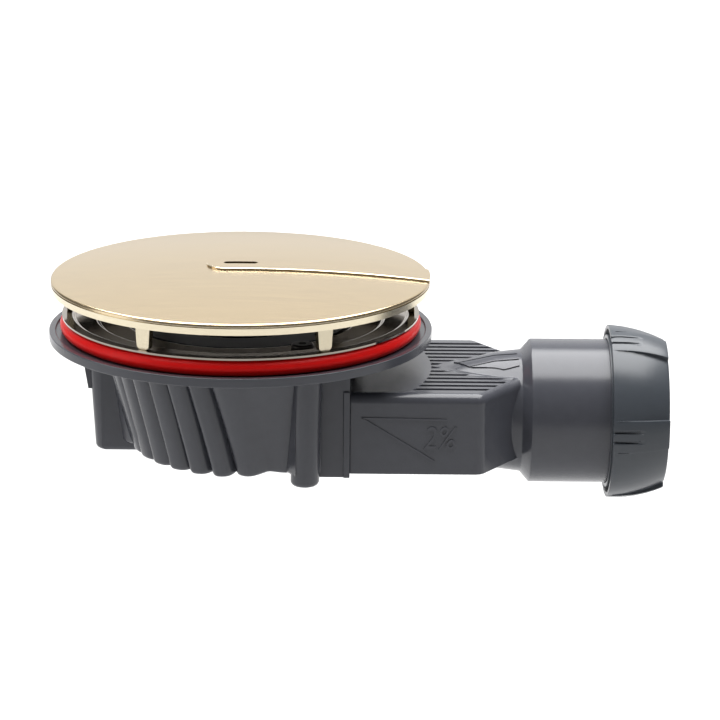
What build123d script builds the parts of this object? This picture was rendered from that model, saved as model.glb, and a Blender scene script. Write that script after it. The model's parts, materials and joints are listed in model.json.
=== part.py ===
from build123d import *
from math import atan2, cos, pi, radians, sin, sqrt, tan
import os

# Low shower trap for a shower tray. Millimetres, Z up.
# The origin is on the trap's axis, in the plane where the tray is clamped between dish and seal.
# The outlet runs along +X.

# Cover
cover_radius = 62.5
cover_edge_height = 12.8
cover_rise = 3.6
cover_thickness = 2.0
cover_edge_round = 0.9
cover_seam_width = 0.5
cover_seam_depth = 0.6
cover_band_depth = 2.2
cover_band_wall = 2.2
cover_band_taper = 8.0
leg_count = 6
leg_inset = 1.5
leg_thickness = 2.2
leg_width = 5.6
leg_tip_width = 4.4
leg_tip_round = 1.6
tongue_width = 14.5
tongue_height = 0.7
tongue_start = -11.25
tongue_bevel = 0.3
slot_length = 11.2
slot_width = 2.3

# Dish
dish_sheet = 0.9
dish_lip_radius = 58.9
dish_lip_inner_radius = 55.4
dish_ring_radius = 47.6
dish_ring_depth = 0.5
dish_floor_depth = 1.5
dish_floor_inner_radius = 37.9
dish_ledge_depth = 3.6
dish_throat_radius = 29.5
dish_throat_depth = 9.5
dish_step = 0.8
dish_bend = 1.1

# Red tray seal
seal_inset = 0.6
seal_bulge = 0.7
seal_shoulder = 1.4

# Trap bowl
flange_top = -4.4
flange_thickness = 3.0
flange_rim = 2.2
seal_groove_depth = 0.8
seal_groove_inner_play = 0.4
seal_groove_outer_play = 1.5
bowl_depth = 36.4
bowl_floor_thickness = 2.5
bowl_bottom_radius = 36.0
bowl_taper = 0.1816
bowl_wall = 2.6
bowl_mouth_play = 1.5
sleeve_thickness = 0.8
sleeve_clearance = 0.1
flute_pitch = 11.9
flute_count = 16
flute_first_angle = -79.5
flute_height = 4.2
flute_far_height = 0.3
flute_swirl = 10.8
flute_crest_place = 0.34
flute_shoulder_place = 0.64
flute_shoulder_share = 0.76
boss_count = 3
boss_circle_radius = 45.0
boss_lean = 0.9
boss_radius = 4.65
boss_drop = 3.2
boss_edge_round = 1.6
boss_rib_thickness = 1.6
boss_rib_reach = 54.0
boss_rib_depth = 19.0
chamber_start = 21.5
collar_end = 36.5
collar_frame_length = 2.1
collar_margin = 1.1
chamber_margin = 0.4

# Outlet duct
duct_width = 69.0
duct_height = 26.8
duct_drop = 0.7
duct_wall = 2.4
duct_straight_end = 79.0
duct_taper_length = 13.5
duct_end_width = 31.0
duct_edge_round = 3.0
duct_corner_round = 4.0
spigot_length = 3.8
spigot_clearance = 0.1
spigot_wall = 1.8
rib_groove_count = 14
rib_groove_pitch = 4.2
rib_groove_width = 2.1
rib_groove_depth = 1.2
rib_groove_margin = 2.6
rib_fairing_margin = 0.5

# Outlet neck and threaded socket
outlet_rise = 11.7
neck_start = 55.0
neck_shoulder = 84.0
neck_overlap = 0.5
neck_start_radius = 11.7
neck_shoulder_radius = 19.3
neck_end_radius = 20.4
neck_wall = 2.2
socket_step = 3.0
socket_length = 35.0
socket_radius = 23.9
socket_bore_radius = 20.3
socket_stop_depth = 32.0
socket_mouth_depth = 3.0
socket_mouth_flare = 2.0

# Outlet nut, slip ring and pipe seal
nut_engagement = 9.4
nut_ring_length = 0.4
nut_end_wall = 5.0
nut_thread_clearance = 0.3
nut_thread_wall = 1.3
nut_pocket_width = 1.9
nut_pocket_depth = 10.0
nut_skin_wall = 1.4
nut_waist_place = 0.55
nut_waist_drop = 1.6
nut_tip_drop = 4.8
nut_lobe_count = 5
nut_lobe_angle = 22.0
nut_lobe_first = 74.0
nut_lobe_waist_drop = 0.6
nut_lobe_tip_drop = 3.2
nut_grip_angle = 6.6
nut_grip_width = 0.8
nut_grip_depth = 0.7
nut_bore_play = 0.4
seal_cone_clearance = 0.1
pipe_seal_length = 5.6
pipe_seal_play = 0.9
pipe_seal_bore_play = 0.1
slip_ring_thickness = 1.5
slip_ring_play = 0.2
slip_ring_rim_play = 0.6
slip_ring_bore_play = 0.2

# Removable dip tube, its sealing ring and the cup that holds the water
tube_flange_play = 1.3
tube_flange_thickness = 1.6
tube_throat_gap = 3.1
tube_wall = 1.9
tube_floor_gap = 8.3
ring_height = -7.2
ring_groove_depth = 0.3
ring_clearance = 0.1
cup_play = 1.85
cup_wall = 1.8
cup_rim = -16.5

# Clamping screws
screw_radius = 2.1
screw_length = 26.0
screw_head_radius = 3.6
screw_head_height = 1.4
screw_hole_clearance = 0.4
screw_pilot_clearance = 0.1
screw_socket_radius = 1.4
screw_socket_depth = 0.8

# Places that follow from the sizes above
band_top = cover_edge_height - cover_edge_round
band_start = band_top - cover_seam_width
band_bottom = band_start - cover_band_depth
leg_outer_radius = dish_lip_radius - leg_inset
leg_inner_radius = leg_outer_radius - leg_thickness
leg_bottom = dish_sheet
dish_ledge_radius = dish_floor_inner_radius - dish_step
screw_circle_radius = (dish_ring_radius - dish_step + dish_floor_inner_radius) / 2
seal_inner_radius = dish_lip_inner_radius + seal_inset
seal_outer_radius = dish_lip_radius + seal_bulge
seal_groove_outer_radius = seal_outer_radius + seal_groove_outer_play
flange_radius = seal_groove_outer_radius + flange_rim
flange_bottom = flange_top - flange_thickness
seal_seat = flange_top - seal_groove_depth
bowl_mouth_radius = dish_ledge_radius + bowl_mouth_play
bowl_bottom = flange_bottom - bowl_depth
bowl_floor = bowl_bottom + bowl_floor_thickness
boss_bottom = bowl_bottom - boss_drop
boss_rib_bottom = flange_bottom - boss_rib_depth
duct_bottom = bowl_bottom - duct_drop
duct_top = duct_bottom + duct_height
outlet_axis_height = duct_bottom + outlet_rise
chamber_end = collar_end - collar_frame_length
shelf_bottom = duct_top + collar_margin
shelf_top = shelf_bottom + duct_wall
inner_width = duct_width - 2 * duct_wall
inner_height = duct_top - duct_bottom - 2 * duct_wall
duct_middle = (duct_top + duct_bottom) / 2
duct_end = duct_straight_end + duct_taper_length
neck_end = duct_end + neck_overlap
socket_start = neck_end + socket_step
socket_end = socket_start + socket_length
outlet_axis = Axis((0, 0, outlet_axis_height), (1, 0, 0))
wall_inset = sleeve_thickness + sleeve_clearance
boss_angles = [180 + 360 / boss_count * i for i in range(boss_count)]
tube_radius = dish_throat_radius - tube_throat_gap
ring_groove_radius = tube_radius - ring_groove_depth
ring_section_radius = (dish_throat_radius - ring_groove_radius) / 2 - ring_clearance
nut_lobe_angles = [nut_lobe_first + 360 / nut_lobe_count * i for i in range(nut_lobe_count)]


def radial_plane(angle):
    """Upright plane through the trap's axis, facing outwards at an angle; its y is up."""
    outwards = (cos(radians(angle)), sin(radians(angle)), 0)
    return Plane(origin=(0, 0, 0), x_dir=(-outwards[1], outwards[0], 0), z_dir=outwards)


def section_plane(angle):
    """Upright plane through the trap's axis that holds the ray at an angle; x is outwards, y is up."""
    return Plane.XZ.rotated((0, 0, angle))


def outlet_section(angle):
    """Plane through the outlet's axis; x runs along it, y outwards at an angle above the front."""
    turned = (0, -sin(radians(angle)), -cos(radians(angle)))
    return Plane(origin=(0, 0, outlet_axis_height), x_dir=(1, 0, 0), z_dir=turned)


def dome_height(radius, drop=0.0):
    """Height of the cover's domed top at a radius, or of a surface a given depth below it."""
    sphere = (cover_radius**2 + cover_rise**2) / (2 * cover_rise)
    return cover_edge_height + cover_rise - (sphere - sqrt(sphere**2 - radius**2)) - drop


def band_radius(height):
    """Radius of the inward-tapering band below the cover's edge."""
    return cover_radius - (band_top - height) * tan(radians(cover_band_taper))


def bowl_radius(height):
    """Radius of the bowl's smooth outer wall at a height."""
    return bowl_bottom_radius + bowl_taper * (height - bowl_bottom)


def on_circle(radius, angle):
    """Point at a radius and an angle about the trap's axis."""
    return (radius * cos(radians(angle)), radius * sin(radians(angle)))


def dome_arc(top_radius, drop):
    """Three points on the cover's dome, from the axis out to a radius."""
    return [(r, dome_height(r, drop)) for r in (0, top_radius / 2, top_radius)]


screw_places = [on_circle(screw_circle_radius, a) for a in boss_angles]

# Cover legs: tapered uprights cut from one round skirt that stands on the dish's lip
with BuildPart() as cover_legs:
    with BuildSketch(Plane.XZ):
        with BuildLine():
            Polyline(
                (leg_outer_radius, leg_bottom),
                (leg_outer_radius, dome_height(leg_outer_radius, cover_thickness / 2)),
                (leg_inner_radius, dome_height(leg_inner_radius, cover_thickness / 2)),
                (leg_inner_radius, leg_bottom),
                close=True,
            )
        make_face()
    revolve(axis=Axis.Z)
    with BuildSketch(*[radial_plane(360 / leg_count * i) for i in range(leg_count)]):
        with BuildLine():
            leg_outline = Polyline(
                (-leg_width / 2, cover_edge_height),
                (leg_width / 2, cover_edge_height),
                (leg_width / 2, band_bottom),
                (leg_tip_width / 2, leg_bottom),
                (-leg_tip_width / 2, leg_bottom),
                (-leg_width / 2, band_bottom),
                close=True,
            )
        make_face()
        fillet(leg_outline.vertices().group_by(Axis.Y)[0], leg_tip_round)
    extrude(amount=cover_radius, mode=Mode.INTERSECT)

# Cover tongue: the raised strip from the middle of the cover out to its edge
with BuildPart() as cover_tongue:
    with BuildSketch(Plane.XZ):
        with BuildLine():
            tongue_top = ThreePointArc(*dome_arc(cover_radius, -tongue_height))
            tongue_under = ThreePointArc(*dome_arc(cover_radius, cover_edge_round / 2))
            Line(tongue_top @ 0, tongue_under @ 0)
            Line(tongue_top @ 1, tongue_under @ 1)
        make_face()
    revolve(axis=Axis.Z)
    with BuildSketch():
        with Locations((tongue_start + tongue_width / 2, 0)):
            Circle(tongue_width / 2)
            Rectangle(2 * cover_radius, tongue_width, align=(Align.MIN, Align.CENTER))
    extrude(amount=2 * cover_edge_height, mode=Mode.INTERSECT)
    chamfer(cover_tongue.faces().sort_by(Axis.Z)[-1].edges(), tongue_bevel)

# Cover: brushed metal disc with a domed top, a tapering band below its edge and six legs
with BuildPart() as cover:
    band_inner_radius = band_radius(band_bottom) - cover_band_wall
    with BuildSketch(Plane.XZ):
        with BuildLine():
            dome_top = ThreePointArc(*dome_arc(cover_radius - cover_edge_round, 0))
            edge = TangentArc(dome_top @ 1, (cover_radius, band_top), tangent=dome_top % 1)
            dome_under = ThreePointArc(*dome_arc(band_inner_radius, cover_thickness))
            Polyline(
                edge @ 1,
                (cover_radius - cover_seam_depth, band_top),
                (cover_radius - cover_seam_depth, band_start),
                (band_radius(band_start), band_start),
                (band_radius(band_bottom), band_bottom),
                (band_inner_radius, band_bottom),
                dome_under @ 1,
            )
            Line(dome_top @ 0, dome_under @ 0)
        make_face()
    revolve(axis=Axis.Z)
    add(cover_legs.part)
    add(cover_tongue.part)
    with BuildSketch():
        SlotOverall(slot_length, slot_width)
    extrude(amount=2 * cover_edge_height, mode=Mode.SUBTRACT)
cover.part.label = "cover"

# Dish: pressed sheet with a flat lip on the tray, a ring of floor and a throat for the dip tube
with BuildPart() as dish:
    with BuildSketch(Plane.XZ):
        with BuildLine():
            FilletPolyline(
                (dish_lip_radius, dish_sheet),
                (dish_lip_inner_radius, dish_sheet),
                (dish_lip_inner_radius - dish_step, 0),
                (dish_ring_radius, -dish_ring_depth),
                (dish_ring_radius - dish_step, -dish_floor_depth),
                (dish_floor_inner_radius, -dish_floor_depth),
                (dish_ledge_radius, -dish_ledge_depth),
                (dish_throat_radius, -dish_ledge_depth),
                (dish_throat_radius, -dish_throat_depth),
                radius=dish_bend,
            )
            offset(amount=dish_sheet, side=Side.LEFT)
        make_face()
    revolve(axis=Axis.Z)
    with BuildSketch(Plane.XY.offset(-dish_floor_depth - 2 * dish_sheet)):
        with Locations(*screw_places):
            Circle(screw_radius + screw_hole_clearance)
    extrude(amount=3 * dish_sheet, mode=Mode.SUBTRACT)
dish.part.label = "dish"

# Tray seal: soft red ring in the flange's groove, rounded on the outside
with BuildPart() as tray_seal:
    with BuildSketch(Plane.XZ):
        with BuildLine():
            Polyline(
                (seal_outer_radius - seal_shoulder, 0),
                (seal_inner_radius, 0),
                (seal_inner_radius, seal_seat),
                (seal_outer_radius - seal_shoulder, seal_seat),
            )
            ThreePointArc(
                (seal_outer_radius - seal_shoulder, seal_seat),
                (seal_outer_radius, seal_seat / 2),
                (seal_outer_radius - seal_shoulder, 0),
            )
        make_face()
    revolve(axis=Axis.Z)
tray_seal.part.label = "tray_seal"


def fluted_outline(radius, turn, far_height):
    """Lines of the bowl's outline at one height: swirl flutes away from the outlet, plain beside it."""
    for i in range(flute_count):
        nearness = abs(2 * i / (flute_count - 1) - 1)
        height = far_height + (flute_height - far_height) * nearness
        right = flute_first_angle - flute_pitch * i + turn
        left = right - flute_pitch
        crest = on_circle(radius + height, left + flute_crest_place * flute_pitch)
        shoulder_radius = radius + flute_shoulder_share * height
        shoulder = on_circle(shoulder_radius, left + flute_shoulder_place * flute_pitch)
        ThreePointArc(on_circle(radius, left), crest, shoulder)
        Line(shoulder, on_circle(radius, right))
    first = flute_first_angle + turn
    last = first - flute_pitch * flute_count
    plain_middle = on_circle(radius, (first + last) / 2 + 180)
    ThreePointArc(on_circle(radius, last), plain_middle, on_circle(radius, first))


def bowl_cone(inset):
    """Lines of a section through the solid bowl, drawn in from its smooth outer wall."""
    Polyline(
        (0, bowl_bottom),
        (bowl_radius(bowl_bottom) - inset, bowl_bottom),
        (bowl_radius(flange_bottom) - inset, flange_bottom),
        (0, flange_bottom),
        close=True,
    )


def chamber_block(margin):
    """Plan of the square outlet chamber, drawn out from its faces by a margin."""
    with Locations((chamber_start - margin, 0)):
        Rectangle(collar_end - chamber_start + margin, duct_width + 2 * (chamber_margin + margin),
                  align=(Align.MIN, Align.CENTER))


# Bowl flange: the top ring of the bowl moulding, with the seal's groove and three leaning screw bosses
with BuildPart() as bowl_flange:
    for angle in boss_angles:
        for height, lean in ((boss_bottom, boss_lean), (flange_bottom, 0)):
            with BuildSketch(Plane.XY.offset(height).rotated((0, 0, angle))):
                with Locations((boss_circle_radius - lean, 0)):
                    Circle(boss_radius)
                    Rectangle(boss_circle_radius - bowl_bottom_radius + bowl_wall / 2, 2 * boss_radius,
                              align=(Align.MAX, Align.CENTER))
        loft(ruled=True)
    boss_edges = bowl_flange.faces().group_by(Axis.Z)[0].edges()
    fillet(boss_edges, boss_edge_round)
    with BuildSketch(section_plane(boss_angles[0])):
        with BuildLine():
            Polyline(
                (boss_circle_radius, flange_bottom),
                (boss_rib_reach, flange_bottom),
                (boss_circle_radius + boss_radius / 2, boss_rib_bottom),
                (boss_circle_radius, boss_rib_bottom),
                close=True,
            )
        make_face()
    extrude(amount=boss_rib_thickness / 2, both=True)
    with BuildSketch(Plane.XZ):
        with BuildLine():
            bowl_cone(sleeve_thickness)
        make_face()
    revolve(axis=Axis.Z, mode=Mode.SUBTRACT)
    with BuildSketch(Plane.XY.offset(boss_bottom)):
        chamber_block(sleeve_clearance)
    extrude(amount=flange_bottom - boss_bottom, mode=Mode.SUBTRACT)
    with BuildSketch(Plane.XY.offset(flange_bottom)):
        Circle(flange_radius)
        Circle(bowl_mouth_radius, mode=Mode.SUBTRACT)
    extrude(amount=flange_thickness)
    with BuildSketch(Plane.XY.offset(seal_seat)):
        Circle(seal_groove_outer_radius)
        Circle(seal_inner_radius - seal_groove_inner_play, mode=Mode.SUBTRACT)
    extrude(amount=seal_groove_depth, mode=Mode.SUBTRACT)
    with BuildSketch(Plane.XY.offset(flange_top)):
        with Locations(*screw_places):
            Circle(screw_radius + screw_pilot_clearance)
    extrude(amount=-screw_length, mode=Mode.SUBTRACT)
bowl_flange.part.label = "bowl_flange"

# Bowl flutes: the swirl-fluted outer skin of the bowl moulding, between the bosses and the chamber
with BuildPart() as bowl_flutes:
    with BuildSketch(Plane.XY.offset(bowl_bottom)):
        with BuildLine():
            fluted_outline(bowl_radius(bowl_bottom), 0, flute_far_height)
        make_face()
    with BuildSketch(Plane.XY.offset(flange_bottom)):
        with BuildLine():
            fluted_outline(bowl_radius(flange_bottom), -flute_swirl, flute_height)
        make_face()
    loft(ruled=True)
    with BuildSketch(Plane.XZ):
        with BuildLine():
            bowl_cone(sleeve_thickness)
        make_face()
    revolve(axis=Axis.Z, mode=Mode.SUBTRACT)
    with BuildSketch(Plane.XY.offset(bowl_bottom)):
        with Locations((chamber_start - sleeve_clearance, 0)):
            Rectangle(flange_radius, 2 * flange_radius, align=(Align.MIN, Align.CENTER))
    extrude(amount=bowl_depth, mode=Mode.SUBTRACT)
    with BuildSketch(*[Plane.XY.offset(bowl_bottom).rotated((0, 0, a)) for a in boss_angles]):
        Rectangle(flange_radius, 2 * (boss_radius + sleeve_clearance), align=(Align.MIN, Align.CENTER))
    extrude(amount=bowl_depth, mode=Mode.SUBTRACT)
bowl_flutes.part.label = "bowl_flutes"

# Trap bowl: the inner wall and floor of the bowl moulding, with the square outlet chamber and its collar
with BuildPart() as trap_bowl:
    with BuildSketch(Plane.XZ):
        with BuildLine():
            bowl_cone(wall_inset)
        make_face()
    revolve(axis=Axis.Z)
    with BuildSketch(Plane.XY.offset(bowl_bottom)):
        with Locations((chamber_end, 0)):
            Rectangle(flange_radius, duct_width, align=(Align.MIN, Align.CENTER))
    extrude(amount=shelf_bottom - bowl_bottom, mode=Mode.SUBTRACT)
    with BuildSketch(Plane.XY.offset(duct_bottom - collar_margin)):
        chamber_block(0)
    extrude(amount=flange_bottom - duct_bottom + collar_margin)
    with BuildSketch(Plane.XZ):
        with BuildLine():
            Polyline(
                (0, bowl_floor),
                (bowl_radius(bowl_floor) - bowl_wall, bowl_floor),
                (bowl_mouth_radius, flange_bottom),
                (0, flange_bottom),
                close=True,
            )
        make_face()
    revolve(axis=Axis.Z, mode=Mode.SUBTRACT)
    with BuildSketch(Plane.XY.offset(duct_bottom + duct_wall)):
        Rectangle(chamber_end - duct_wall, inner_width, align=(Align.MIN, Align.CENTER))
    extrude(amount=flange_bottom - duct_bottom - duct_wall, mode=Mode.SUBTRACT)
    with BuildSketch(Plane.YZ.offset(chamber_end)):
        with Locations((0, duct_bottom)):
            Rectangle(duct_width, shelf_top - duct_bottom, align=(Align.CENTER, Align.MIN))
    extrude(amount=-duct_wall)
    with BuildSketch(Plane.XY.offset(shelf_bottom)):
        Circle(bowl_radius(shelf_bottom) - wall_inset)
        with Locations((chamber_end - duct_wall, 0)):
            Rectangle(flange_radius, duct_width, align=(Align.MIN, Align.CENTER), mode=Mode.INTERSECT)
    extrude(amount=duct_wall)
    with BuildSketch(Plane.YZ.offset(collar_end)):
        with Locations((0, duct_middle)):
            Rectangle(duct_width + 2 * collar_margin, duct_top - duct_bottom + 2 * collar_margin)
    extrude(amount=-collar_frame_length)
    with BuildSketch(Plane.YZ.offset(collar_end)):
        with Locations((0, duct_middle)):
            Rectangle(inner_width, inner_height)
    extrude(amount=-collar_frame_length - duct_wall, mode=Mode.SUBTRACT)
    with BuildSketch(Plane.XY.offset(flange_top)):
        with Locations(*screw_places):
            Circle(screw_radius + screw_pilot_clearance)
    extrude(amount=-screw_length, mode=Mode.SUBTRACT)
trap_bowl.part.label = "trap_bowl"


def duct_plan(inset, start):
    """Plan outline of the outlet duct, drawn in from its outer faces by a wall."""
    slant = atan2((duct_width - duct_end_width) / 2, duct_taper_length)
    half = duct_width / 2 - inset
    end_half = duct_end_width / 2 - inset * tan((pi / 2 - slant) / 2)
    taper_start = duct_straight_end - inset * tan(slant / 2)
    Polyline(
        (start, -half),
        (taper_start, -half),
        (duct_end - inset, -end_half),
        (duct_end - inset, end_half),
        (taper_start, half),
        (start, half),
        close=True,
    )


# Rib grooves: what is cut from the duct's top, clear of the flange above and of the neck's fairing
with BuildPart() as rib_grooves:
    with BuildSketch(Plane.XY.offset(duct_top)):
        with Locations((duct_end / 2, 0)):
            with GridLocations(0, rib_groove_pitch, 1, rib_groove_count):
                Rectangle(duct_end, rib_groove_width)
        Circle(flange_radius, mode=Mode.SUBTRACT)
        with BuildLine():
            duct_plan(rib_groove_margin, 0)
        make_face(mode=Mode.INTERSECT)
    extrude(amount=-rib_groove_depth)
    with BuildSketch(outlet_section(90)):
        with BuildLine():
            Polyline(
                (neck_start, 0),
                (neck_start, neck_start_radius + rib_fairing_margin),
                (neck_shoulder, neck_shoulder_radius + rib_fairing_margin),
                (neck_end, neck_end_radius + rib_fairing_margin),
                (neck_end, 0),
                close=True,
            )
        make_face()
    revolve(axis=outlet_axis, mode=Mode.SUBTRACT)

# Outlet duct: one moulding, a flat ribbed channel that turns into a round neck with a threaded socket
with BuildPart() as outlet_duct:
    with BuildSketch(Plane.XY.offset(duct_bottom)):
        with BuildLine():
            duct_plan(0, collar_end)
        make_face()
    extrude(amount=duct_top - duct_bottom)
    corner_edges = outlet_duct.edges().filter_by(Axis.Z).group_by(Axis.X)[1]
    fillet(corner_edges, duct_corner_round)
    top_edges = outlet_duct.faces().sort_by(Axis.Z)[-1].edges().sort_by(Axis.X)[1:-1]
    fillet(top_edges, duct_edge_round)
    add(rib_grooves.part, mode=Mode.SUBTRACT)
    with BuildSketch(outlet_section(90)):
        with BuildLine():
            Polyline(
                (neck_start, 0),
                (neck_start, neck_start_radius),
                (neck_shoulder, neck_shoulder_radius),
                (neck_end, neck_end_radius),
                (socket_start, socket_radius),
                (socket_end, socket_radius),
                (socket_end, 0),
                close=True,
            )
        make_face()
    revolve(axis=outlet_axis)
    with BuildSketch(Plane.YZ.offset(collar_end)):
        with Locations((0, duct_middle)):
            Rectangle(inner_width - 2 * spigot_clearance, inner_height - 2 * spigot_clearance)
    extrude(amount=-spigot_length)
    with BuildSketch(Plane.XY.offset(duct_bottom + duct_wall)):
        with BuildLine():
            duct_plan(duct_wall, collar_end + duct_wall)
        make_face()
    extrude(amount=inner_height, mode=Mode.SUBTRACT)
    with BuildSketch(Plane.YZ.offset(collar_end + duct_wall)):
        with Locations((0, duct_middle)):
            Rectangle(inner_width - 2 * spigot_wall, inner_height - 2 * spigot_wall)
    extrude(amount=-duct_wall - spigot_length, mode=Mode.SUBTRACT)
    with BuildSketch(outlet_section(90)):
        with BuildLine():
            Polyline(
                (neck_start + neck_wall, 0),
                (neck_start + neck_wall, neck_start_radius - neck_wall),
                (neck_end, neck_end_radius - neck_wall),
                (socket_end - socket_stop_depth, neck_end_radius - neck_wall),
                (socket_end - socket_stop_depth, socket_bore_radius),
                (socket_end - socket_mouth_depth, socket_bore_radius),
                (socket_end, socket_bore_radius + socket_mouth_flare),
                (socket_end, 0),
                close=True,
            )
        make_face()
    revolve(axis=outlet_axis, mode=Mode.SUBTRACT)
outlet_duct.part.label = "outlet_duct"

# Pipe seal: soft wedge ring in the socket's flared mouth
thread_radius = socket_radius + nut_thread_clearance
pipe_seal_radius = thread_radius - pipe_seal_play
pipe_seal_bore_radius = socket_bore_radius + pipe_seal_bore_play
mouth_slope = socket_mouth_flare / socket_mouth_depth
seal_lift = (pipe_seal_bore_play + seal_cone_clearance) / mouth_slope
seal_tip = socket_end - socket_mouth_depth + seal_cone_clearance + seal_lift
seal_step = socket_end + seal_cone_clearance
seal_step_radius = pipe_seal_bore_radius + (seal_step - seal_tip) * mouth_slope
seal_end = seal_tip + pipe_seal_length
with BuildPart() as pipe_seal:
    with BuildSketch(outlet_section(90)):
        with BuildLine():
            Polyline(
                (seal_tip, pipe_seal_bore_radius),
                (seal_step, seal_step_radius),
                (seal_step, pipe_seal_radius),
                (seal_end, pipe_seal_radius),
                (seal_end, pipe_seal_bore_radius),
                close=True,
            )
        make_face()
    revolve(axis=outlet_axis)
pipe_seal.part.label = "pipe_seal"

# Slip ring: thin hard washer between the pipe seal and the nut
with BuildPart() as slip_ring:
    with BuildSketch(Plane.YZ.offset(seal_end)):
        with Locations((0, outlet_axis_height)):
            Circle(thread_radius - slip_ring_rim_play)
            Circle(socket_bore_radius + slip_ring_bore_play, mode=Mode.SUBTRACT)
    extrude(amount=slip_ring_thickness)
slip_ring.part.label = "slip_ring"

# Outlet nut: hollow hand nut with a thread ring, an outer skin and five grip lobes
thread_ring_radius = thread_radius + nut_thread_wall
nut_skin_radius = thread_ring_radius + nut_pocket_width + nut_skin_wall
nut_waist_radius = nut_skin_radius - nut_waist_drop
nut_tip_radius = nut_skin_radius - nut_tip_drop
nut_lobe_waist_radius = nut_skin_radius - nut_lobe_waist_drop
nut_bore_radius = socket_bore_radius + nut_bore_play
thread_end = seal_end + slip_ring_thickness + slip_ring_play
nut_end = thread_end + nut_end_wall
nut_start = socket_end - nut_engagement
nut_skin_start = nut_start + nut_ring_length
waist = nut_skin_start + nut_waist_place * (nut_end - nut_skin_start)
pocket_end = nut_skin_start + nut_pocket_depth
with BuildPart() as outlet_nut:
    with BuildSketch(outlet_section(90)):
        with BuildLine():
            ThreePointArc(
                (nut_skin_start, nut_skin_radius),
                (waist, nut_waist_radius),
                (nut_end, nut_tip_radius),
            )
            Polyline(
                (nut_end, nut_tip_radius),
                (nut_end, nut_bore_radius),
                (thread_end, nut_bore_radius),
                (thread_end, thread_radius),
                (nut_start, thread_radius),
                (nut_start, thread_ring_radius),
                (pocket_end, thread_ring_radius),
                (pocket_end, nut_waist_radius - nut_skin_wall),
                (nut_skin_start, nut_skin_radius - nut_skin_wall),
                (nut_skin_start, nut_skin_radius),
            )
        make_face()
    revolve(axis=outlet_axis)
    with BuildSketch(*[outlet_section(a + nut_lobe_angle / 2) for a in nut_lobe_angles]):
        with BuildLine():
            lobe_top = ThreePointArc(
                (nut_skin_start, nut_skin_radius),
                (waist, nut_lobe_waist_radius),
                (nut_end, nut_skin_radius - nut_lobe_tip_drop),
            )
            lobe_under = ThreePointArc(
                (nut_skin_start, nut_skin_radius - nut_skin_wall / 2),
                (waist, nut_waist_radius - nut_skin_wall / 2),
                (nut_end, nut_tip_radius - nut_skin_wall / 2),
            )
            Line(lobe_top @ 0, lobe_under @ 0)
            Line(lobe_top @ 1, lobe_under @ 1)
        make_face()
    revolve(axis=outlet_axis, revolution_arc=nut_lobe_angle)
    grip_angles = [a + side * nut_grip_angle / 2 for a in nut_lobe_angles for side in (-1, 1)]
    with BuildSketch(*[outlet_section(a) for a in grip_angles]):
        with BuildLine():
            Polyline(
                (nut_skin_start, nut_skin_radius + nut_skin_wall),
                (nut_skin_start, nut_skin_radius - nut_grip_depth),
                (waist, nut_lobe_waist_radius),
                (waist, nut_skin_radius + nut_skin_wall),
                close=True,
            )
        make_face()
    extrude(amount=nut_grip_width / 2, both=True, mode=Mode.SUBTRACT)
outlet_nut.part.label = "outlet_nut"

# Dip tube: removable inlet tube through the dish's throat, down into the cup
tube_bottom = bowl_floor + tube_floor_gap
with BuildPart() as dip_tube:
    with BuildSketch(Plane.XZ):
        with BuildLine():
            Polyline(
                (tube_radius - tube_wall, tube_bottom),
                (tube_radius, tube_bottom),
                (tube_radius, ring_height - ring_section_radius - ring_clearance),
                (ring_groove_radius, ring_height - ring_section_radius - ring_clearance),
                (ring_groove_radius, ring_height + ring_section_radius + ring_clearance),
                (tube_radius, ring_height + ring_section_radius + ring_clearance),
                (tube_radius, -dish_ledge_depth),
                (tube_radius - tube_wall, -dish_ledge_depth),
                close=True,
            )
        make_face()
    revolve(axis=Axis.Z)
dip_tube.part.label = "dip_tube"

# Tube flange: the dip tube's top ring, which hangs it on the dish's ledge
with BuildPart() as tube_flange:
    with BuildSketch(Plane.XY.offset(-dish_ledge_depth)):
        Circle(dish_ledge_radius - tube_flange_play)
        Circle(tube_radius - tube_wall, mode=Mode.SUBTRACT)
    extrude(amount=tube_flange_thickness)
tube_flange.part.label = "tube_flange"

# Tube ring: round sealing ring between the dip tube and the dish's throat
with BuildPart() as tube_ring:
    with BuildSketch(Plane.XZ):
        with Locations(((ring_groove_radius + dish_throat_radius) / 2, ring_height)):
            Circle(ring_section_radius)
    revolve(axis=Axis.Z)
tube_ring.part.label = "tube_ring"

# Trap cup: stands on the bowl's floor and holds the water that closes the trap
cup_radius = bowl_radius(bowl_floor) - bowl_wall - cup_play
with BuildPart() as trap_cup:
    with BuildSketch(Plane.XY.offset(bowl_floor)):
        Circle(cup_radius)
    extrude(amount=cup_rim - bowl_floor)
    with BuildSketch(Plane.XY.offset(bowl_floor + cup_wall)):
        Circle(cup_radius - cup_wall)
    extrude(amount=cup_rim - bowl_floor - cup_wall, mode=Mode.SUBTRACT)
trap_cup.part.label = "trap_cup"

# Clamp screws: three pan-head screws through the dish into the bowl's bosses
screw_seat = Plane.XY.offset(-dish_floor_depth)
with BuildPart() as clamp_screws:
    with BuildSketch(screw_seat):
        with Locations(*screw_places):
            Circle(screw_radius)
    extrude(amount=-screw_length)
    with BuildSketch(screw_seat):
        with Locations(*screw_places):
            Circle(screw_head_radius)
    extrude(amount=screw_head_height)
    fillet(clamp_screws.edges().filter_by(GeomType.CIRCLE).group_by(Axis.Z)[-1], screw_head_height / 2)
    with BuildSketch(screw_seat.offset(screw_head_height)):
        with Locations(*screw_places):
            RegularPolygon(screw_socket_radius, 6)
    extrude(amount=-screw_socket_depth, mode=Mode.SUBTRACT)
clamp_screws.part.label = "clamp_screws"

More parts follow.
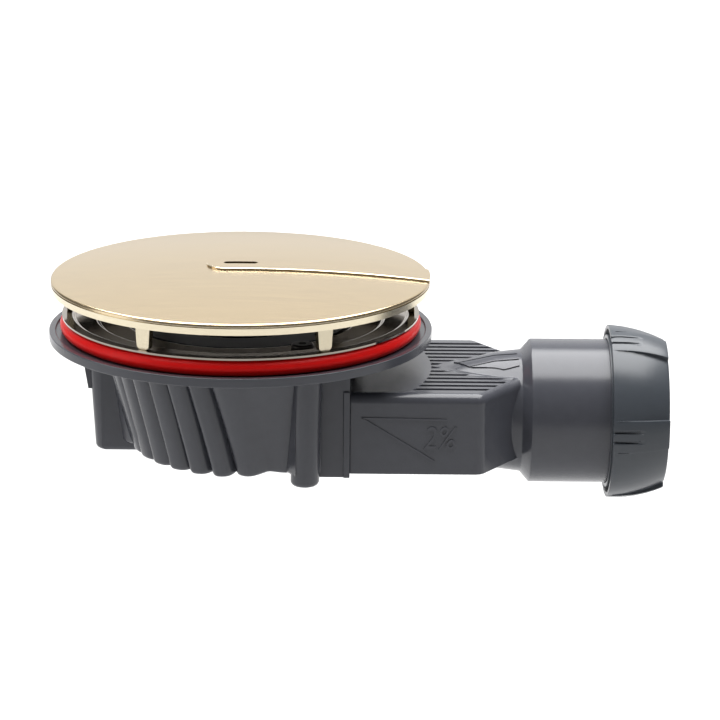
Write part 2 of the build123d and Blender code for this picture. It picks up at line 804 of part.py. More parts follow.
os.makedirs("parts", exist_ok=True)
pieces = (cover, dish, tray_seal, clamp_screws, dip_tube, tube_flange, tube_ring, trap_cup, bowl_flange,
          bowl_flutes, trap_bowl, outlet_duct, pipe_seal, slip_ring, outlet_nut)
for piece in pieces:
    export_step(piece.part, f"parts/{piece.part.label}.step")
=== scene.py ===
import bmesh
import bpy
import json
from math import cos, hypot, pi, radians, sin, sqrt, tan
from mathutils import Matrix, Quaternion, Vector
from mathutils.bvhtree import BVHTree

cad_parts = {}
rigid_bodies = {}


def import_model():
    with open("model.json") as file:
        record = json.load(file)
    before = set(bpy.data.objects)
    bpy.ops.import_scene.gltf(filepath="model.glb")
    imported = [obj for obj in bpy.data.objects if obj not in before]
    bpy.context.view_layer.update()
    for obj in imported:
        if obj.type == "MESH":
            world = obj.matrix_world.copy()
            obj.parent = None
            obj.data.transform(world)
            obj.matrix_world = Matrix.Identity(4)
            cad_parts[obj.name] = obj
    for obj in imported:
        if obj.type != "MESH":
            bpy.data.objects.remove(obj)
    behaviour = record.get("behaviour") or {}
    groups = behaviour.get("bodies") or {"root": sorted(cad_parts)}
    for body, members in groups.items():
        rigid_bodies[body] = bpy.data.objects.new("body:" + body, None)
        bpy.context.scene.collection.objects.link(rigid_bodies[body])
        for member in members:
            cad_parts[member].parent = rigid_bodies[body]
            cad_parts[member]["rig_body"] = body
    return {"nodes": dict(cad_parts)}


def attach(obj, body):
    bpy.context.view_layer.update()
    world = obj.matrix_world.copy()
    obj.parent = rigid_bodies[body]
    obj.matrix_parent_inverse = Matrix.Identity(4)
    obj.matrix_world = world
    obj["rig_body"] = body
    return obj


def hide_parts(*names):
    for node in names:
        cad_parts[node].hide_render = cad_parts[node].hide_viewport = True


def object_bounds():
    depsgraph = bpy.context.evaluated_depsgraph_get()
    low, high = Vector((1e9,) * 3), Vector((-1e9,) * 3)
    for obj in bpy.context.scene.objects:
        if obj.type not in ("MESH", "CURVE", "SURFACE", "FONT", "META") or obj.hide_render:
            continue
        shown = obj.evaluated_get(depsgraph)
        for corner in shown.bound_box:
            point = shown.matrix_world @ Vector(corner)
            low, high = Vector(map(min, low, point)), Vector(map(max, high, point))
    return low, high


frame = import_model()
cad_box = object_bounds()

# Trap bowl: the inner wall, floor and square outlet chamber of the trap's body.
# It is injection moulded from dark grey polypropylene, in one piece with the flange and the flutes.
# The mould leaves a small round on every edge and a fine eroded grain on the outside.
body_grey = (0.056, 0.058, 0.069, 1.0)
body_gloss = 0.23
body_grain = 0.00006
moulded_edge = 0.0003
edge_segments = 2
sharp_angle = radians(24)
crease_angle = radians(40)
flat_angle = radians(0.2)
merge_distance = 0.000002
shade_stops = (0.3, 0.7)
cloud_scale = 240
cloud_detail = 4
cloud_shades = (0.97, 1.03)
cloud_gloss = 0.015
grain_scale = 2600
grain_detail = 2
grain_strength = 0.25


def sharp_edges(mesh):
    """The edges of a mesh that show as corners."""
    return [e for e in mesh.edges if e.is_manifold and e.calc_face_angle() > sharp_angle]


def softened_copy(node, name, edge_round):
    """A merged copy of a solid with its sharp edges rounded, shown in the solid's place."""
    mesh = bmesh.new()
    mesh.from_mesh(frame["nodes"][node].data)
    bmesh.ops.remove_doubles(mesh, verts=mesh.verts, dist=merge_distance)
    surface = BVHTree.FromBMesh(mesh)
    bmesh.ops.dissolve_limit(mesh, angle_limit=flat_angle, verts=mesh.verts, edges=mesh.edges)
    bmesh.ops.bevel(mesh, geom=sharp_edges(mesh), offset=edge_round, offset_type="OFFSET", affect="EDGES",
                    segments=edge_segments, profile=0.5, material=-1, clamp_overlap=False)
    for vert in mesh.verts:
        nearest, _, _, distance = surface.find_nearest(vert.co)
        if distance > edge_round:
            vert.co = nearest
    bmesh.ops.remove_doubles(mesh, verts=mesh.verts, dist=merge_distance)
    return finished_piece(mesh, name, frame["nodes"][node]["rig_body"], node)


def finished_piece(mesh, name, body, *nodes):
    """An object made from a bmesh, smooth but for its sharp edges, that rides on a body."""
    for face in mesh.faces:
        face.smooth = True
    for edge in mesh.edges:
        edge.smooth = not edge.is_manifold or edge.calc_face_angle() < crease_angle
    data = bpy.data.meshes.new(name)
    mesh.to_mesh(data)
    mesh.free()
    piece = bpy.data.objects.new(name, data)
    bpy.context.scene.collection.objects.link(piece)
    level = piece.modifiers.new("flat_faces", "WEIGHTED_NORMAL")
    level.keep_sharp = True
    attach(piece, body)
    if nodes:
        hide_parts(*nodes)
    return piece


def node_material(name):
    """A new material with a node tree."""
    material = bpy.data.materials.new(name)
    material.use_nodes = True
    return material


def noise_pattern(material, scale, detail, stretch=(1, 1, 1)):
    """A noise pattern that is fixed to the object and may be drawn out along an axis."""
    nodes = material.node_tree.nodes
    link = material.node_tree.links.new
    place = nodes.new("ShaderNodeTexCoord")
    drawn = nodes.new("ShaderNodeMapping")
    drawn.inputs["Scale"].default_value = stretch
    link(place.outputs["Object"], drawn.inputs["Vector"])
    pattern = nodes.new("ShaderNodeTexNoise")
    pattern.inputs["Scale"].default_value = scale
    pattern.inputs["Detail"].default_value = detail
    link(drawn.outputs["Vector"], pattern.inputs["Vector"])
    return pattern


def vary(material, pattern, colour, shades, glosses):
    """Lets a pattern vary a material's colour between two shades, and its roughness."""
    nodes = material.node_tree.nodes
    link = material.node_tree.links.new
    shader = nodes["Principled BSDF"]
    tint = nodes.new("ShaderNodeValToRGB")
    for stop, position, shade in zip(tint.color_ramp.elements, shade_stops, shades):
        stop.position = position
        stop.color = [part * shade for part in colour[:3]] + [1]
    link(pattern.outputs["Fac"], tint.inputs["Fac"])
    link(tint.outputs["Color"], shader.inputs["Base Color"])
    spread = nodes.new("ShaderNodeMapRange")
    spread.inputs["To Min"].default_value = glosses[0]
    spread.inputs["To Max"].default_value = glosses[1]
    link(pattern.outputs["Fac"], spread.inputs["Value"])
    link(spread.outputs["Result"], shader.inputs["Roughness"])


def emboss(material, pattern, strength, depth):
    """Gives a material a fine relief that follows a pattern."""
    nodes = material.node_tree.nodes
    link = material.node_tree.links.new
    relief = nodes.new("ShaderNodeBump")
    relief.inputs["Strength"].default_value = strength
    relief.inputs["Distance"].default_value = depth
    link(pattern.outputs["Fac"], relief.inputs["Height"])
    link(relief.outputs["Normal"], nodes["Principled BSDF"].inputs["Normal"])


def moulded_plastic(name, colour, gloss, grain_depth):
    """Moulded plastic: a faintly clouded colour, uneven gloss and a fine eroded grain."""
    material = node_material(name)
    clouds = noise_pattern(material, cloud_scale, cloud_detail)
    vary(material, clouds, colour, cloud_shades, (gloss - cloud_gloss, gloss + cloud_gloss))
    grain = noise_pattern(material, grain_scale, grain_detail)
    emboss(material, grain, grain_strength, grain_depth)
    return material


body_plastic = moulded_plastic("body_plastic", body_grey, body_gloss, body_grain)
bowl = softened_copy("trap_bowl", "bowl_moulding", moulded_edge)
bowl.data.materials.append(body_plastic)

# Bowl flange: the flat top ring that carries the red seal in a shallow groove.
# It belongs to the bowl moulding and is turned here from its section.
flange_radius = 0.06327
flange_mouth = 0.0386
flange_top = -0.0044
flange_bottom = -0.0074
flange_segments = 3
groove_inner = 0.0556
groove_outer = 0.0611
groove_bottom = -0.0052
turn_steps = 256


def spun(path, closed, steps):
    """A mesh turned about the upright axis from points given as radius and height."""
    mesh = bmesh.new()
    verts = [mesh.verts.new((r, 0, z)) for r, z in path]
    edges = [mesh.edges.new(pair) for pair in zip(verts, verts[1:])]
    if closed:
        edges.append(mesh.edges.new((verts[-1], verts[0])))
    bmesh.ops.spin(mesh, geom=verts + edges, axis=(0, 0, 1), cent=(0, 0, 0), angle=2 * pi, steps=steps,
                   use_merge=True)
    bmesh.ops.remove_doubles(mesh, verts=mesh.verts, dist=merge_distance)
    bmesh.ops.recalc_face_normals(mesh, faces=mesh.faces)
    return mesh


def soften(mesh, edge_round, segments):
    """Rounds every sharp edge of a mesh."""
    bmesh.ops.bevel(mesh, geom=sharp_edges(mesh), offset=edge_round, offset_type="OFFSET", affect="EDGES",
                    segments=segments, profile=0.5, material=-1, clamp_overlap=True)


flange_section = [(flange_mouth, flange_bottom), (flange_radius, flange_bottom),
                  (flange_radius, flange_top), (groove_outer, flange_top),
                  (groove_outer, groove_bottom), (groove_inner, groove_bottom),
                  (groove_inner, flange_top), (flange_mouth, flange_top)]
flange_mesh = spun(flange_section, True, turn_steps)
soften(flange_mesh, moulded_edge, flange_segments)
flange = finished_piece(flange_mesh, "flange_ring", "trap", "bowl_flange")
flange.data.materials.append(body_plastic)

# Screw bosses: three round posts below the flange that take the clamping screws, leaning in a little.
# They are moulded with the bowl, and the one away from the outlet has a thin rib on its outside.
# A web behind each post joins it to the bowl's wall.
boss_angles = (60, 180, 300)
ribbed_boss = 180
boss_circle = 0.0463
boss_lean = 0.0022
boss_radius = 0.00465
boss_sides = 64
boss_bottom = -0.047
boss_edge_round = 0.0016
boss_edge_segments = 6
rib_reach = 0.054
rib_bottom = -0.0264
rib_half_width = 0.0008
web_start = 0.0330
bowl_bottom = -0.0438
boss_mesh = bmesh.new()
for angle in boss_angles:
    boss_turn = Matrix.Rotation(radians(angle), 3, "Z")
    post = bmesh.ops.create_cone(boss_mesh, cap_ends=True, segments=boss_sides, radius1=boss_radius,
                                 radius2=boss_radius, depth=flange_bottom - boss_bottom)["verts"]
    bmesh.ops.translate(boss_mesh, verts=post, vec=(boss_circle, 0, (flange_bottom + boss_bottom) / 2))
    foot = [v for v in post if v.co.z < rib_bottom]
    bmesh.ops.translate(boss_mesh, verts=foot, vec=(-boss_lean, 0, 0))
    bmesh.ops.rotate(boss_mesh, verts=post, cent=(0, 0, 0), matrix=boss_turn)
    web_bottom = boss_bottom if angle == ribbed_boss else bowl_bottom + merge_distance
    web_size = (boss_circle - web_start, 2 * boss_radius, flange_bottom - web_bottom)
    web_middle = ((boss_circle + web_start) / 2, 0, (flange_bottom + web_bottom) / 2)
    web = bmesh.ops.create_cube(boss_mesh, size=1)["verts"]
    bmesh.ops.scale(boss_mesh, verts=web, vec=web_size)
    bmesh.ops.translate(boss_mesh, verts=web, vec=web_middle)
    bmesh.ops.rotate(boss_mesh, verts=web, cent=(0, 0, 0), matrix=boss_turn)
foot_edges = [e for e in boss_mesh.edges if max(v.co.z for v in e.verts) < rib_bottom]
bmesh.ops.bevel(boss_mesh, geom=foot_edges, offset=boss_edge_round, offset_type="OFFSET", affect="EDGES",
                segments=boss_edge_segments, profile=0.5, material=-1)
rib_corners = [(-boss_circle, flange_bottom), (-rib_reach, flange_bottom),
               (-boss_circle - boss_radius, rib_bottom), (-boss_circle, rib_bottom)]
rib_face = boss_mesh.faces.new([boss_mesh.verts.new((x, -rib_half_width, z)) for x, z in rib_corners])
rib_sides = bmesh.ops.extrude_face_region(boss_mesh, geom=[rib_face])["geom"]
bmesh.ops.translate(boss_mesh, verts=[v for v in rib_sides if isinstance(v, bmesh.types.BMVert)],
                    vec=(0, 2 * rib_half_width, 0))
bmesh.ops.recalc_face_normals(boss_mesh, faces=boss_mesh.faces)
bosses = finished_piece(boss_mesh, "screw_bosses", "trap", "bowl_flange")
bosses.data.materials.append(body_plastic)

# Bowl flutes: sixteen swirl flutes that stiffen the bowl's outside and stand closer at their tops.
# They are moulded with the bowl: steep on one side, easy on the other, and rounded off at the top and foot.
# Towards the outlet they run out into a plain wall that leans out more than the flutes' valleys.
flute_count = 16
flute_pitch = 11.9
flute_top_pitch = 9.8
flute_first = -78.1
flute_swirl = 14.2
flute_foot_height = 0.0040
flute_top_height = 0.0022
flute_far_height = 0.0003
flute_crest = 0.30
flute_steepness = 0.4
flute_fall = 3.0
flute_run_out = 7.0
flute_run_out_share = 0.6
flute_drop = 0.0010
flute_columns = 20
flute_rows = 44
flute_foot_round = 0.0014
flute_top_round = 0.0022
wall_foot = 0.0360
wall_lean = 0.0084
plain_step = 0.0010
plain_lean = 0.0098
plain_end = -57.0
skin_inner = 0.0348
skin_strips = flute_count + 2
boss_swell = 0.0036
swell_start = 5.0
swell_end = 15.0


def eased(value):
    """A smooth step from 0 to 1."""
    value = min(max(value, 0), 1)
    return value * value * (3 - 2 * value)


def flute_bulge(share):
    """The height of one flute across its width, from its steep side at 0 to its easy side at 1."""
    if share < flute_crest:
        return sin(pi / 2 * share / flute_crest) ** flute_steepness
    return 1 - ((share - flute_crest) / (1 - flute_crest)) ** flute_fall


skin_mesh = bmesh.new()
bmesh.ops.create_grid(skin_mesh, x_segments=skin_strips * flute_columns, y_segments=flute_rows, size=0.5)
for vert in skin_mesh.verts:
    column = (vert.co.x + 0.5) * skin_strips
    row = (vert.co.y + 0.5) * flute_rows
    rise = 0.5 - 0.5 * cos(pi * max(row - 1, 0) / (flute_rows - 1))
    valley = wall_foot + wall_lean * rise
    plain = wall_foot + plain_step + plain_lean * rise
    pitch = flute_pitch + (flute_top_pitch - flute_pitch) * rise
    first = flute_first - flute_swirl * rise
    last = first - pitch * flute_count
    flute = min(max(int(column - 1), 0), flute_count - 1)
    share = min(max(flute + 2 - column, 0), 1)
    angle = first - pitch * (column - 1)
    profile = flute_bulge(share)
    base = valley
    if flute == 0:
        base = valley + (plain - valley) * eased(share)
        angle = first - pitch + (pitch + flute_run_out) * share
        if share > flute_crest:
            profile = 1 - eased((share - flute_crest) / (1 - flute_crest))
    if flute == flute_count - 1:
        base = valley + (plain - valley) * (1 - eased(share / flute_crest))
    if column < 1:
        angle = plain_end + (first + flute_run_out - plain_end) * column
        base = plain
    if column > flute_count + 1:
        angle = last + (-360 - plain_end - last) * (column - flute_count - 1)
        base = plain
    nearness = abs(2 * flute / (flute_count - 1) - 1)
    foot = bowl_bottom - flute_drop * nearness * profile
    height = foot + rise * (flange_bottom - foot)
    foot_height = flute_far_height + (flute_foot_height - flute_far_height) * nearness
    if flute == 0:
        foot_height *= flute_run_out_share
    bulge = (foot_height * (1 - rise) + flute_top_height * rise) * profile
    below_top = max(flange_bottom - height, 0) / flute_top_round
    if below_top < 1:
        bulge *= sqrt(1 - (1 - below_top) ** 2)
    radius = base + bulge
    for boss in boss_angles:
        away = abs((angle - boss + 180) % 360 - 180)
        swell = boss_swell * (1 - rise) * (1 - eased((away - swell_start) / (swell_end - swell_start)))
        radius = max(radius, base + swell)
    above_foot = max(height - foot, 0) / flute_foot_round
    if above_foot < 1:
        radius -= flute_foot_round * (1 - sqrt(1 - (1 - above_foot) ** 2))
    # The lowest row turns in under the bowl's floor.
    if row < 0.5:
        radius = skin_inner
        height = bowl_bottom
    vert.co = (radius * cos(radians(angle)), radius * sin(radians(angle)), height)
bmesh.ops.recalc_face_normals(skin_mesh, faces=skin_mesh.faces)
flutes = finished_piece(skin_mesh, "flute_moulding", "trap", "bowl_flutes")
flutes.data.materials.append(body_plastic)

# Outlet duct: the flat ribbed channel that turns into a round neck with a threaded socket.
# It is a second moulding of the same plastic, welded into the bowl's collar.
duct = softened_copy("outlet_duct", "duct_moulding", moulded_edge)
duct.data.materials.append(body_plastic)

# Slope mark: two thin lines and the figure for the pipe's fall, raised on the duct's front face.
# They are part of the duct's mould and show which way the pipe drops.
duct_front = -0.0345
mark_relief = 0.0004
mark_width = 0.0005
mark_point = Vector((0.0403, 0, -0.0255))
mark_ends = (Vector((0.0677, 0, -0.0259)), Vector((0.0638, 0, -0.0399)))
figure_left = 0.0602
figure_width = 0.0107
figure_bottom = -0.0358
figure_height = 0.0076
figure_slant = 0.2
mark_mesh = bmesh.new()
for line_end in mark_ends:
    run = line_end - mark_point
    line_middle = (line_end + mark_point) / 2 + Vector((0, duct_front, 0))
    line_place = Matrix.Translation(line_middle) @ run.to_track_quat("X", "Z").to_matrix().to_4x4()
    line_size = Matrix.Diagonal((run.length, 2 * mark_relief, mark_width, 1))
    bmesh.ops.create_cube(mark_mesh, size=1, matrix=line_place @ line_size)
figure_curve = bpy.data.curves.new("slope_figure", "FONT")
figure_curve.body = "2%"
figure_curve.shear = figure_slant
figure_curve.extrude = mark_relief
figure_text = bpy.data.objects.new("slope_figure", figure_curve)
bpy.context.scene.collection.objects.link(figure_text)
figure_shown = figure_text.evaluated_get(bpy.context.evaluated_depsgraph_get())
figure_data = bpy.data.meshes.new_from_object(figure_shown)
bpy.data.objects.remove(figure_text)
low_x, low_y = [min(v.co[i] for v in figure_data.vertices) for i in (0, 1)]
high_x, high_y = [max(v.co[i] for v in figure_data.vertices) for i in (0, 1)]
stretch_x = figure_width / (high_x - low_x)
stretch_y = figure_height / (high_y - low_y)
for vert in figure_data.vertices:
    x, y, z = vert.co
    vert.co = (figure_left + (x - low_x) * stretch_x, duct_front - z, figure_bottom + (y - low_y) * stretch_y)
mark_mesh.from_mesh(figure_data)
bmesh.ops.remove_doubles(mark_mesh, verts=mark_mesh.verts, dist=merge_distance)
bmesh.ops.recalc_face_normals(mark_mesh, faces=mark_mesh.faces)
mark = finished_piece(mark_mesh, "slope_mark", "trap")
mark.data.materials.append(body_plastic)

# Neck fairing: three strips that fan out over the neck's top and carry the ribs on to the socket.
# They are moulded on the duct, and deep lines run between them.
duct_top = -0.0177
neck_radius = 0.0204
fairing_starts = ((0.0705, 0.0013), (0.0721, -0.0012), (0.0759, -0.0060), (0.0872, -0.0105))
fairing_ends = ((0.0915, 2.5), (0.0915, 9.0), (0.0920, 19.5), (0.0920, 29.3))
fairing_lift = 0.0004
fairing_gap = 0.00035
fairing_depth = 0.0016
fairing_steps = 32
fairing_rows = 4
duct_copy = bmesh.new()
duct_copy.from_mesh(duct.data)
duct_surface = BVHTree.FromBMesh(duct_copy)
duct_copy.free()


def fairing_line(number, share):
    """A point in plan on one of the lines between the strips, from the ribs at 0 to the socket at 1."""
    start_x, start_y = fairing_starts[number]
    end_x, end_angle = fairing_ends[number]
    end_y = -neck_radius * sin(radians(end_angle))
    return Vector((start_x + (end_x - start_x) * share, start_y + (end_y - start_y) * share))


fairing_mesh = bmesh.new()
for number in range(len(fairing_starts) - 1):
    strip = bmesh.ops.create_grid(fairing_mesh, x_segments=fairing_steps, y_segments=fairing_rows, size=0.5)
    for vert in strip["verts"]:
        share = vert.co.x + 0.5
        left = fairing_line(number, share)
        right = fairing_line(number + 1, share)
        inset = fairing_gap / (right - left).length
        x, y = left.lerp(right, inset + (1 - 2 * inset) * (vert.co.y + 0.5))
        below, _, _, _ = duct_surface.ray_cast(Vector((x, y, 0)), Vector((0, 0, -1)))
        vert.co = (x, y, max(below.z, duct_top) + fairing_lift)
bmesh.ops.reverse_faces(fairing_mesh, faces=fairing_mesh.faces)
fairing_mesh.normal_update()
bmesh.ops.solidify(fairing_mesh, geom=fairing_mesh.faces, thickness=fairing_depth)
bmesh.ops.recalc_face_normals(fairing_mesh, faces=fairing_mesh.faces)
fairing = finished_piece(fairing_mesh, "neck_fairing", "trap")
fairing.data.materials.append(body_plastic)

# Outlet nut: the hollow hand nut that closes the pipe seal on the pipe.
# It is moulded from a slightly bluer, glossier plastic than the body.
# It is shown a little turned on its thread, and drawn in so that its lobes keep inside the part's box.
nut_grey = (0.048, 0.055, 0.065, 1.0)
nut_gloss = 0.3
nut_grain = 0.00003
nut_height = -0.0328
nut_angle = radians(3)
nut_fit = 0.998
nut_plastic = moulded_plastic("nut_plastic", nut_grey, nut_gloss, nut_grain)
nut_axis = Matrix.Translation((0, 0, nut_height))
nut_place = Matrix.Rotation(nut_angle, 4, "X") @ Matrix.Diagonal((1, nut_fit, nut_fit, 1))
nut = softened_copy("outlet_nut", "nut_moulding", moulded_edge)
nut.data.transform(nut_axis @ nut_place @ nut_axis.inverted())
nut.data.materials.append(nut_plastic)

# Tray seal: the red rubber ring that is squeezed between the tray and the flange.
# It is moulded rubber with a smooth skin, and bulges out round under the clamping screws.
seal_red = (0.80, 0.0045, 0.004, 1.0)
seal_gloss = 0.38
seal_grain = 0.00002
seal_shine = 0.2
seal_inner = 0.0560
seal_outer = 0.0596
seal_seat = -0.0052
seal_shoulder = 0.0027
seal_bulge_steps = 16
seal_path = [(seal_inner, seal_seat), (seal_inner, 0)]
for i in range(seal_bulge_steps + 1):
    turn = pi * i / seal_bulge_steps
    bulge_radius = seal_outer - seal_shoulder + seal_shoulder * sin(turn)
    seal_path.append((bulge_radius, seal_seat / 2 * (1 - cos(turn))))
red_rubber = moulded_plastic("red_rubber", seal_red, seal_gloss, seal_grain)
red_rubber.node_tree.nodes["Principled BSDF"].inputs["Specular IOR Level"].default_value = seal_shine
seal = finished_piece(spun(seal_path, True, turn_steps), "seal_ring", "trap", "tray_seal")
seal.data.materials.append(red_rubber)

# Dish: the shallow bowl that takes the water, clamped on the tray by its lip.
# It is pressed from stainless sheet and polished, and its ring steps catch the light as thin bright lines.
# The steel's colour is darker and warmer than bare steel: painted shade from the cover above, and a painted
# reflection of the cover's gold.
dish_shade_reflection_tint = (0.40, 0.36, 0.31, 1.0)
dish_gloss = 0.04
dish_sheet = 0.0006
dish_bend = 0.0011
bend_steps = 8
lip_outer = 0.0589
lip_inner = 0.0554
lip_height = 0.0009
upper_step_outer = 0.0546
upper_step_inner = 0.0476
upper_step_end = -0.0005
lower_step_outer = 0.0468
lower_step_inner = 0.0379
lower_step_height = -0.0015
dish_floor_outer = 0.0371
dish_floor_height = -0.0036
throat_radius = 0.0295
throat_end = -0.0095
smear_scale = 110
smear_detail = 5
smear_shades = (0.96, 1.04)
smear_gloss = 0.06


def rounded_path(points, radius, steps):
    """The points of a bent line in one plane, with every inner corner turned into an arc."""
    path = [Vector(points[0])]
    for before, corner, after in zip(points, points[1:], points[2:]):
        corner = Vector(corner)
        arm_in = Vector(before) - corner
        arm_out = Vector(after) - corner
        half = arm_in.angle(arm_out) / 2
        reach = min(radius / tan(half), arm_in.length / 2, arm_out.length / 2)
        middle = corner + (arm_in.normalized() + arm_out.normalized()).normalized() * reach / cos(half)
        start = corner + arm_in.normalized() * reach - middle
        end = corner + arm_out.normalized() * reach - middle
        for i in range(steps + 1):
            path.append(middle + start.normalized().slerp(end.normalized(), i / steps) * start.length)
    path.append(Vector(points[-1]))
    return path


def polished_metal(name, colour, gloss):
    """Polished metal: a mirror with faint smears in its colour and gloss."""
    material = node_material(name)
    material.node_tree.nodes["Principled BSDF"].inputs["Metallic"].default_value = 1
    smears = noise_pattern(material, smear_scale, smear_detail)
    vary(material, smears, colour, smear_shades, (gloss, gloss + smear_gloss))
    return material


polished_steel = polished_metal("polished_steel", dish_shade_reflection_tint, dish_gloss)
dish_corners = [(lip_outer, lip_height), (lip_inner, lip_height), (upper_step_outer, 0),
                (upper_step_inner, upper_step_end), (lower_step_outer, lower_step_height),
                (lower_step_inner, lower_step_height), (dish_floor_outer, dish_floor_height),
                (throat_radius, dish_floor_height), (throat_radius, throat_end)]
dish_mesh = spun(rounded_path(dish_corners, dish_bend, bend_steps), False, turn_steps)
bmesh.ops.solidify(dish_mesh, geom=dish_mesh.faces, thickness=dish_sheet)
bmesh.ops.recalc_face_normals(dish_mesh, faces=dish_mesh.faces)
dish = finished_piece(dish_mesh, "dish_pressing", "trap", "dish")
dish.data.materials.append(polished_steel)

# Clamp screws: three steel screws that pull the dish down on the tray.
# They pass through the dish's lower step and bite into the bowl's bosses.
# The screws' near-black colour is painted shade: they sit in the shade under the cover, and bare steel is
# lighter.
screw_shade_grey = (0.10, 0.095, 0.09, 1.0)
screw_gloss = 0.3
screw_edge = 0.0001
screw_steel = polished_metal("screw_steel", screw_shade_grey, screw_gloss)
screws = softened_copy("clamp_screws", "clamp_screw_set", screw_edge)
screws.data.materials.append(screw_steel)

# Insert and pipe rings: the dip tube and the cup below it, which hold the water in the trap, lift out.
# They and the nut's slip ring are plain mouldings of black plastic.
# The tube's sealing ring and the pipe's seal are black rubber.
insert_black = (0.02, 0.021, 0.023, 1.0)
insert_gloss = 0.4
insert_grain = 0.00003
ring_black = (0.010, 0.010, 0.010, 1.0)
ring_gloss = 0.55
ring_grain = 0.00002
insert_plastic = moulded_plastic("insert_plastic", insert_black, insert_gloss, insert_grain)
black_rubber = moulded_plastic("black_rubber", ring_black, ring_gloss, ring_grain)
insert_finishes = {"dip_tube": insert_plastic, "tube_flange": insert_plastic, "trap_cup": insert_plastic,
                   "slip_ring": insert_plastic, "tube_ring": black_rubber, "pipe_seal": black_rubber}
for node, finish in insert_finishes.items():
    frame["nodes"][node].data.materials.clear()
    frame["nodes"][node].data.materials.append(finish)

# Cover: the domed disc on six legs that hides the dish and lifts out for cleaning.
# It is cast metal with a pale gold coat. Its top is brushed in one direction, along the outlet.
# Its edge band and legs are left smooth and get a lighter gold, whose extra brightness is painted highlight.
# Its underside is rough and painted near-black as painted shade.
brushed_colour = (0.67, 0.535, 0.345, 1.0)
brushed_gloss = (0.18, 0.28)
brushed_depth = 0.000008
# The smooth gold is a paler, lighter copy of the brushed gold. Its finer relief is real, and its extra
# brightness is painted highlight.
highlight_gold_colour = (0.86, 0.765, 0.57, 1.0)
highlight_gold_gloss = (0.24, 0.28)
highlight_gold_depth = 0.000002
# The underside's near-black brown is painted shade: it stands for the shade under the cover.
painted_shade_colour = (0.05, 0.038, 0.022, 1.0)
painted_shade_gloss = (0.45, 0.55)
painted_shade_depth = 0.00002
stroke_stretch = (30, 1500, 1500)
stroke_detail = 4
stroke_shades = (0.94, 1.03)
stroke_strength = 0.3
cover_radius = 0.0625
cover_height = 0.0128
cover_rise = 0.0036
cover_sheet = 0.0020
cover_edge = 0.0009
cover_sphere = (cover_radius ** 2 + cover_rise ** 2) / (2 * cover_rise)
cover_steps = 360
dome_end = cover_radius - cover_edge
dome_steps = 24
edge_steps = 8
band_top = cover_height - cover_edge
band_start = 0.0114
band_bottom = 0.0092
band_inner = 0.0599
band_draft = tan(radians(8))
seam_radius = 0.0619
slot_length = 0.0112
slot_width = 0.0028
slot_steps = 16
cutter_height = 0.03
shaded_under_slope = -0.3
shaded_inward_slope = -0.5


def coated_metal(name, colour, glosses, stroke_depth):
    """Metal with a coat, brushed along the outlet: long fine strokes in its colour, gloss and relief."""
    material = node_material(name)
    material.node_tree.nodes["Principled BSDF"].inputs["Metallic"].default_value = 1
    strokes = noise_pattern(material, 1, stroke_detail, stroke_stretch)
    vary(material, strokes, colour, stroke_shades, glosses)
    emboss(material, strokes, stroke_strength, stroke_depth)
    return material


def dome(radius):
    """The height of the cover's domed top at a distance from its middle."""
    return cover_height + cover_rise - cover_sphere + sqrt(cover_sphere ** 2 - radius ** 2)


def slotted(mesh, length, width):
    """A mesh with an upright slot cut through its middle, along the outlet."""
    slot = bmesh.new()
    reach = (length - width) / 2
    for i in range(2 * slot_steps + 1):
        turn = pi * i / slot_steps
        side = reach if turn < pi / 2 or turn > 3 * pi / 2 else -reach
        slot.verts.new((side + width / 2 * cos(turn), width / 2 * sin(turn), 0))
    bmesh.ops.remove_doubles(slot, verts=slot.verts, dist=merge_distance)
    lid = bmesh.ops.contextual_create(slot, geom=slot.verts)["faces"]
    walls = bmesh.ops.extrude_face_region(slot, geom=lid)["geom"]
    bmesh.ops.translate(slot, verts=[v for v in walls if isinstance(v, bmesh.types.BMVert)],
                        vec=(0, 0, cutter_height))
    bmesh.ops.recalc_face_normals(slot, faces=slot.faces)
    pair = []
    for name, source in (("blank", mesh), ("cutter", slot)):
        data = bpy.data.meshes.new(name)
        source.to_mesh(data)
        source.free()
        pair.append(bpy.data.objects.new(name, data))
        bpy.context.scene.collection.objects.link(pair[-1])
    blank, cutter = pair
    cut = blank.modifiers.new("slot", "BOOLEAN")
    cut.object = cutter
    cut.operation = "DIFFERENCE"
    cut.solver = "EXACT"
    result = bmesh.new()
    result.from_object(blank, bpy.context.evaluated_depsgraph_get())
    for spare in pair:
        bpy.data.objects.remove(spare)
    return result


brushed_gold = coated_metal("brushed_gold", brushed_colour, brushed_gloss, brushed_depth)
highlight_gold = coated_metal("highlight_gold", highlight_gold_colour, highlight_gold_gloss, highlight_gold_depth)
painted_shade_coat = coated_metal("painted_shade_coat", painted_shade_colour, painted_shade_gloss, painted_shade_depth)
cover_path = []
for i in range(dome_steps + 1):
    out = dome_end * i / dome_steps
    cover_path.append((out, dome(out)))
edge_rise = dome(dome_end) - band_top
for i in range(1, edge_steps + 1):
    turn = pi / 2 * i / edge_steps
    cover_path.append((dome_end + cover_edge * sin(turn), band_top + edge_rise * cos(turn)))
cover_path += [(seam_radius, band_top), (seam_radius, band_start),
               (cover_radius - (band_top - band_start) * band_draft, band_start),
               (cover_radius - (band_top - band_bottom) * band_draft, band_bottom),
               (band_inner, band_bottom)]
for i in range(dome_steps, -1, -1):
    out = band_inner * i / dome_steps
    cover_path.append((out, dome(out) - cover_sheet))
disc_mesh = slotted(spun(cover_path, False, cover_steps), slot_length, slot_width)
disc = finished_piece(disc_mesh, "cover_disc", "trap", "cover")
for material in (brushed_gold, highlight_gold, painted_shade_coat):
    disc.data.materials.append(material)
